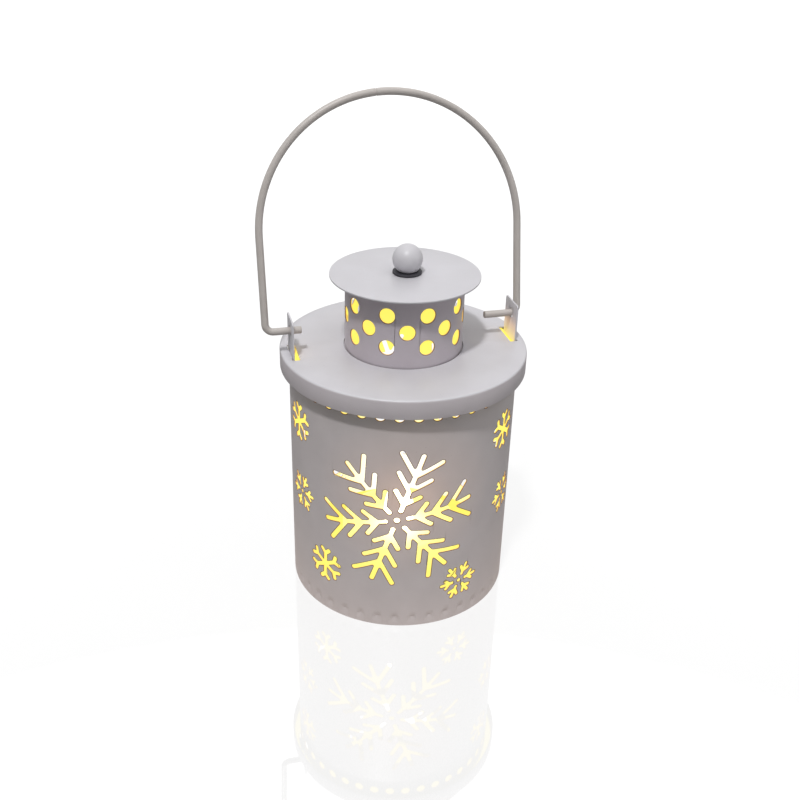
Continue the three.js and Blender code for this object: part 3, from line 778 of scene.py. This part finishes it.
def speckle_group():
    """Unevenness of a sprayed coat: broad mottling, fine grain and stray specks."""
    group, start, end = new_group("sprayed_coat", [
        ("Vector", "Vector", None), ("Mottle Scale", "Float", MOTTLE_SCALE),
        ("Grain Scale", "Float", GRAIN_SCALE),
    ], [("Mottle", "Float"), ("Grain", "Float"), ("Specks", "Float")])
    place = start.outputs["Vector"]
    mottle_scale, grain_scale = start.outputs["Mottle Scale"], start.outputs["Grain Scale"]
    broad = node(group, "TexNoise", {"Vector": place, "Scale": mottle_scale, "Detail": 3.0})
    fine = node(group, "TexNoise", {"Vector": place, "Scale": grain_scale, "Detail": 2.0})
    cells = node(group, "TexVoronoi", {"Vector": place, "Scale": 420.0})
    specks = node(group, "MapRange", {
        "Value": cells.outputs["Distance"], "From Min": 0.02, "From Max": 0.06,
        "To Min": 1.0, "To Max": 0.0})
    feed(group, end, {
        "Mottle": broad.outputs[0], "Grain": fine.outputs[0], "Specks": specks.outputs["Result"]})
    return group


def glow_group():
    """How near a point is to the flame: 1 at its middle and 0 at the reach."""
    group, start, end = new_group("flame_nearness", [
        ("Vector", "Vector", None), ("Middle", "Vector", (0, 0, 0.03)), ("Reach", "Float", 0.06),
    ], [("Nearness", "Float")])
    distance = node(group, "VectorMath", {0: start.outputs["Vector"], 1: start.outputs["Middle"]},
                    operation="DISTANCE")
    share = node(group, "MapRange", {
        "Value": distance.outputs["Value"], "From Max": start.outputs["Reach"],
        "To Min": 1.0, "To Max": 0.0})
    feed(group, end, {"Nearness": share.outputs["Result"]})
    return group


SPRAYED = speckle_group()
NEARNESS = glow_group()


def nearness(tree, place, middle, reach):
    return use_group(tree, NEARNESS, {"Vector": place, "Middle": middle, "Reach": reach})["Nearness"]


def new_material(name):
    material = bpy.data.materials.new(name)
    material.use_nodes = True
    tree = material.node_tree
    shader = tree.nodes["Principled BSDF"]
    place = tree.nodes.new("ShaderNodeTexCoord").outputs["Object"]
    return material, tree, shader, place


# The lighter and the darker tone of a coat, its range of roughness, and the strength of its grain
PAINT_TONES = (0.615, 0.603, 0.634), (0.582, 0.569, 0.598)
# The wall's tones are pinker than the other coat's: painted warm light on the upright wall
WARM_LIT_WALL_TONES = (0.612, 0.566, 0.568), (0.577, 0.533, 0.534)
PAINT_ROUGHNESS = (0.34, 0.46)
PAINT_GRAIN = 0.08
PLASTIC_GRAIN = 0.05
METAL_GRAIN = 0.1
SPECK_SHADE = 0.72
# How much of its glow a lit inner surface throws on others, so that little of it leaves the lantern
SPILL = 0.3


def coat(tree, shader, place, light, dark, rough=PAINT_ROUGHNESS, grain=PAINT_GRAIN):
    """Colour, roughness and bump of a sprayed or moulded surface."""
    look = use_group(tree, SPRAYED, {
        "Vector": place, "Mottle Scale": MOTTLE_SCALE, "Grain Scale": GRAIN_SCALE})
    color = ramp(tree, look["Mottle"], [(0.3, dark), (0.7, light)])
    speck = (*[c * SPECK_SHADE for c in dark], 1)
    roughness = node(tree, "MapRange", {"Value": look["Mottle"], "To Min": rough[0], "To Max": rough[1]})
    relief = node(tree, "Bump", {"Strength": grain, "Distance": GRAIN_HEIGHT, "Height": look["Grain"]})
    feed(tree, shader, {
        "Base Color": mix(tree, look["Specks"], color, speck),
        "Roughness": roughness.outputs["Result"], "Normal": relief.outputs["Normal"]})


def make_coated(name, light, dark, rough=PAINT_ROUGHNESS, grain=PAINT_GRAIN, metallic=0.0):
    """A painted, moulded or metal surface."""
    material, tree, shader, place = new_material(name)
    coat(tree, shader, place, light, dark, rough, grain)
    shader.inputs["Metallic"].default_value = metallic
    return material


def make_shell_paint():
    """The wall's paint, with a faint warm glow painted round the bright middle of the front snowflake."""
    material, tree, shader, place = new_material("shell_paint")
    coat(tree, shader, place, *WARM_LIT_WALL_TONES)
    angle, radius = math.radians(FRONT + 4), WALL_RADIUS * MM
    spot = (math.cos(angle) * radius, math.sin(angle) * radius, 0.047)
    near = nearness(tree, place, spot, 0.028)
    emit(tree, shader, ramp(tree, near, [
        (0.0, (0, 0, 0)), (0.5, (0.05, 0.022, 0.005)), (1.0, (0.22, 0.11, 0.045))]))
    return material


def make_lit(name, middle, reach, stops, base=(0.25, 0.18, 0.05)):
    """An inner surface with the flame's light painted on as a glow: brightest near the given middle, and
    spilling little light outside.
    """
    material, tree, shader, place = new_material(name)
    coat(tree, shader, place, base, [c * 0.9 for c in base], (0.45, 0.6))
    rays = tree.nodes.new("ShaderNodeLightPath")
    strength = node(tree, "MapRange", {
        "Value": rays.outputs["Is Diffuse Ray"], "To Min": 1.0, "To Max": SPILL})
    near = nearness(tree, place, middle, reach)
    emit(tree, shader, ramp(tree, near, stops), strength.outputs["Result"])
    return material


def make_cut_edge(name, outer_radius, thickness):
    """The edge of a cut sheet: painted shade at the outer surface, and the flame's light painted on as a
    glow deeper in.
    """
    material, tree, shader, place = new_material(name)
    coat(tree, shader, place, (0.3, 0.19, 0.15), (0.25, 0.15, 0.12))
    flat = node(tree, "VectorMath", {0: place, 1: (1, 1, 0)}, operation="MULTIPLY")
    radius = node(tree, "VectorMath", {0: flat.outputs[0]}, operation="LENGTH")
    depth = node(tree, "MapRange", {
        "Value": radius.outputs["Value"], "From Min": (outer_radius - thickness) * MM,
        "From Max": outer_radius * MM})
    emit(tree, shader, ramp(tree, depth.outputs["Result"], [
        (0.0, (0.95, 0.78, 0.12)), (0.5, (0.7, 0.36, 0.05)), (0.85, (0.16, 0.05, 0.02))]))
    return material


def make_lit_ear():
    """The inner face of an ear: light from the slot under it is painted on as a glow that fades upwards."""
    material, tree, shader, place = new_material("lit_ear")
    coat(tree, shader, place, *PAINT_TONES)
    height = node(tree, "SeparateXYZ", {0: place}).outputs["Z"]
    share = node(tree, "MapRange", {
        "Value": height, "From Min": LID_TOP * MM, "From Max": (PIVOT + 1) * MM})
    emit(tree, shader, ramp(tree, share.outputs["Result"], [
        (0.0, (0.5, 0.36, 0.09)), (0.45, (0.34, 0.19, 0.06)), (0.75, (0.10, 0.05, 0.03)),
        (1.0, (0, 0, 0))]))
    return material


def make_flame_finish():
    """Translucent plastic lit from inside, palest low in the flame."""
    material, tree, shader, place = new_material("glowing_plastic")
    coat(tree, shader, place, (1.0, 0.85, 0.55), (0.95, 0.78, 0.48), (0.25, 0.35))
    near = nearness(tree, place, (0, 0, 0.022), 0.016)
    emit(tree, shader, ramp(tree, near, [(0.0, (1.0, 0.72, 0.28)), (0.6, (1.0, 0.93, 0.72))]), 3)
    return material


PAINT = make_coated("grey_paint", *PAINT_TONES)
WIRE_PAINT = make_coated("wire_paint", (0.53, 0.49, 0.465), (0.475, 0.44, 0.415))
# The collar's coat is darker than the other paint: painted shade under the hat
SHADED_COLLAR_PAINT = make_coated("shaded_collar_paint", (0.55, 0.5, 0.54), (0.52, 0.47, 0.508), (0.26, 0.34))
# The lid rim's upright face gets a warmer tone: painted warm light, as on the wall
WARM_LIT_RIM_PAINT = make_coated("warm_lit_rim_paint", (0.61, 0.567, 0.589), (0.577, 0.535, 0.556))
CUT_RIM = make_coated("cut_rim", (0.24, 0.15, 0.13), (0.2, 0.12, 0.1))
# A near-black coat in the gap between the lid and the chimney: painted shade
GAP_SHADE = make_coated("gap_shade", (0.05, 0.048, 0.05), (0.03, 0.03, 0.03))
SHELL_PAINT_AND_GLOW = make_shell_paint()
CUT_EDGE = make_cut_edge("cut_edge", WALL_RADIUS, SHEET)
DOT_EDGE = make_cut_edge("dot_edge", COLLAR_RADIUS, TIN)
LIT_EAR = make_lit_ear()
# The inside's brightest place is a painted pool of light low on the back wall, behind the flame
LIT_INSIDE = make_lit("lit_inside", (0.0093, 0.0329, 0.014), 0.06, [
    (0.1, (0.95, 0.84, 0.14)), (0.45, (0.97, 0.9, 0.24)), (0.62, (1.0, 0.97, 0.5)), (0.8, (1.1, 1.1, 1.0))])
LIT_CHIMNEY = make_lit("lit_chimney", (0, 0, 0.06), 0.06, [
    (0.1, (0.93, 0.76, 0.03)), (0.7, (0.96, 0.86, 0.2))])
LIT_PLASTIC = make_lit("lit_plastic", (0, 0, 0.03), 0.05, [
    (0.1, (0.93, 0.84, 0.15)), (0.4, (0.95, 0.88, 0.19)), (0.6, (0.97, 0.93, 0.38))])
LIT_WAX = make_lit("lit_wax", (0, 0, 0.022), 0.03, [
    (0.2, (0.93, 0.86, 0.17)), (0.5, (0.97, 0.93, 0.36)), (0.7, (1.1, 1.08, 0.95))], (0.35, 0.28, 0.1))
FLAME = make_flame_finish()
WASHER = make_coated(
    "dark_rubber", (0.022, 0.02, 0.028), (0.012, 0.011, 0.016), (0.55, 0.7), PLASTIC_GRAIN)
WAX = make_coated("ivory_plastic", (0.90, 0.80, 0.58), (0.86, 0.75, 0.52), (0.4, 0.55), PLASTIC_GRAIN)
WHITE = make_coated("white_plastic", (0.80, 0.79, 0.74), (0.76, 0.75, 0.70), (0.38, 0.5), PLASTIC_GRAIN)
BOARD = make_coated("board_green", (0.03, 0.16, 0.06), (0.02, 0.11, 0.04), (0.35, 0.5), PLASTIC_GRAIN)
STEEL = make_coated(
    "steel", (0.42, 0.42, 0.41), (0.34, 0.34, 0.34), (0.25, 0.42), METAL_GRAIN, metallic=1.0)


def dress(piece, body, replaced, finish=None):
    if finish:
        piece.data.materials.append(finish)
    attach(piece, body)
    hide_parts(replaced)


def finish_node(name, finish):
    """Gives a CAD piece that keeps its shape its better material."""
    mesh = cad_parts[name].data
    mesh.materials.clear()
    mesh.materials.append(finish)


def build_lantern():
    dress(make_wall(), "body", "body_shell")
    dress(make_base(), "body", "base_plate")
    dress(make_lid(), "lid", "lid")
    dress(make_collar(), "lid", "collar")
    dress(make_hat(), "lid", "hat")
    dress(make_knob(), "lid", "knob", PAINT)
    dress(make_washer(), "lid", "knob_washer", WASHER)
    dress(make_ear("ear_plate_right", 1), "lid", "ear_right")
    dress(make_ear("ear_plate_left", -1), "lid", "ear_left")
    dress(make_bail(), "bail", "bail", WIRE_PAINT)
    dress(make_cup(), "tea_light", "tea_light_cup")
    dress(make_wax(), "tea_light", "wax_top", LIT_WAX)
    dress(make_flame(), "tea_light", "flame_lens", FLAME)
    copies = [
        ("tea_light_base", WHITE, "white_plastic", "tea_light", 0.08),
        ("battery_cover", WHITE, "white_plastic", "battery_cover", 0.08),
        ("switch_slider", WASHER, "dark_rubber", "switch", 0.12),
        ("knob_screw", STEEL, "steel", "lid", 0.06),
        ("circuit_board", BOARD, "board_green", "tea_light", 0.05),
    ]
    for name, finish, slot, body, width in copies:
        dress(softened_copy(name, width), body, name, finish)
    for name, finish in (("coin_cell", STEEL), ("positive_contact", STEEL), ("negative_contact", STEEL),
                         ("led", FLAME), ("resistor", WAX)):
        finish_node(name, finish)


# Floor, light and background
def make_floor():
    """A pale, faintly mirroring floor: plain to the camera, with warm light thrown up at the wall."""
    clear_selection()
    bpy.ops.mesh.primitive_plane_add(size=8, location=(0, 0, -FLOOR_DROP))
    floor = named("floor")
    material, tree, shader, place = new_material("pale_floor")
    near = nearness(tree, place, (0, 0, 0), 0.11)
    bounce = ramp(tree, near, [(0.1, (0, 0, 0)), (0.45, (0.19, 0.15, 0.125)), (0.68, (0.36, 0.28, 0.23))])
    rays = tree.nodes.new("ShaderNodeLightPath")
    emit(tree, shader, mix(tree, rays.outputs["Is Camera Ray"], bounce, (0.735, 0.735, 0.735, 1)))
    feed(tree, shader, {"Base Color": (0.16, 0.16, 0.16, 1), "Roughness": 0.02, "IOR": 1.9})
    floor.data.materials.append(material)


def make_lamp(name, kind, strength):
    data = bpy.data.lights.new(name, kind)
    data.energy = strength
    lamp = bpy.data.objects.new(name, data)
    bpy.context.scene.collection.objects.link(lamp)
    return lamp


def make_sun(name, azimuth, elevation, softness, strength):
    """A sun at an azimuth from the camera's side and an elevation above the floor."""
    lamp = make_lamp(name, "SUN", strength)
    lamp.data.angle = math.radians(softness)
    turn, rise = math.radians(PHOTO_SIDE + azimuth), math.radians(elevation)
    way = Vector((math.cos(rise) * math.cos(turn), math.cos(rise) * math.sin(turn), math.sin(rise)))
    lamp.location = way * 0.9
    lamp.rotation_euler = way.to_track_quat("Z", "Y").to_euler()


def make_lights():
    make_sun("key", azimuth=-18, elevation=63, softness=5, strength=1.75)
    make_sun("overhead", azimuth=0, elevation=89, softness=100, strength=1.4)
    make_sun("fill", azimuth=75, elevation=10, softness=30, strength=0.36)
    flame = make_lamp("flame_light", "POINT", 0.01)
    flame.data.color = (1, 0.82, 0.3)
    flame.data.shadow_soft_size = 0.004
    flame.location = (0, 0, 0.045)


def make_world():
    """White to the camera and in mirrors, and a weak light on everything else."""
    world = bpy.data.worlds.new("plain_white")
    bpy.context.scene.world = world
    world.use_nodes = True
    tree = world.node_tree
    rays = tree.nodes.new("ShaderNodeLightPath").outputs
    seen = rays["Is Camera Ray"]
    for other in ("Is Glossy Ray", "Is Transmission Ray"):
        seen = node(tree, "Math", {0: seen, 1: rays[other]}, operation="MAXIMUM").outputs[0]
    strength = node(tree, "MapRange", {"Value": seen, "To Min": 0.07, "To Max": 1.0})
    feed(tree, tree.nodes["Background"], {"Color": (1, 1, 1, 1), "Strength": strength.outputs["Result"]})


place_camera()
build_lantern()
make_floor()
make_lights()
make_world()
bpy.context.scene.view_settings.view_transform = "Standard"
